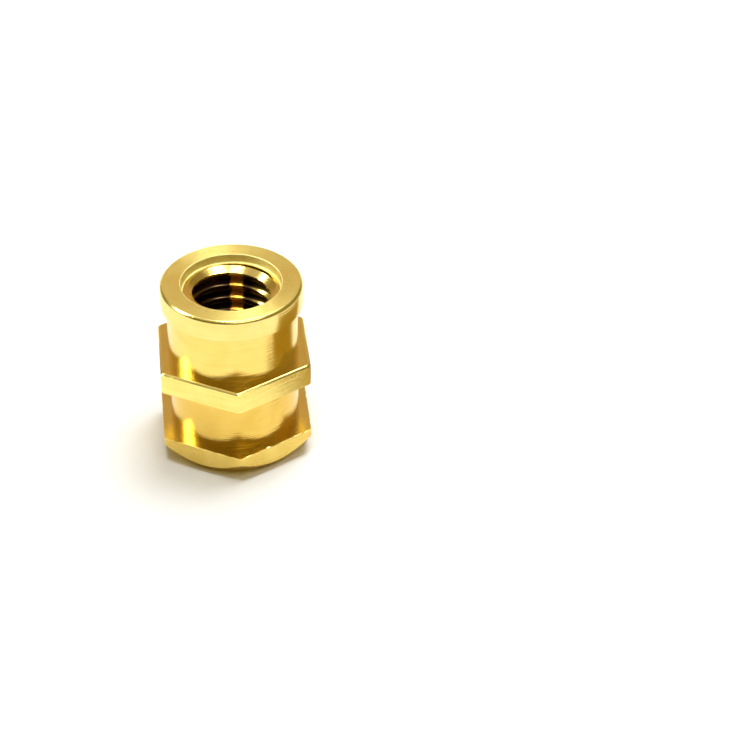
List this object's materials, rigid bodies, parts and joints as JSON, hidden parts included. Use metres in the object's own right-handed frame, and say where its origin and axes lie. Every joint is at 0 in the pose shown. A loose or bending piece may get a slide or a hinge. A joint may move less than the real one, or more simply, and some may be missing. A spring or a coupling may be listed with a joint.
{
  "type": "sleeve nut",
  "caption": "Turned brass sleeve nut: threaded tube with a round flange at its mouth and two hexagon collars with round necks between.",
  "frame": {"origin": "middle of the chamfered end face that it stands on", "axes": "+Z along the bore towards the flange and its mouth, +X and -X along the normals of two hexagon flats, +Y and -Y towards two corners"},
  "size_m": [0.008, 0.0092, 0.01],
  "materials": {
    "brass": "bright turned brass, fine tool lines"
  },
  "bodies": {
    "root": {"sleeve_nut": "brass"}
  },
  "joints": []
}
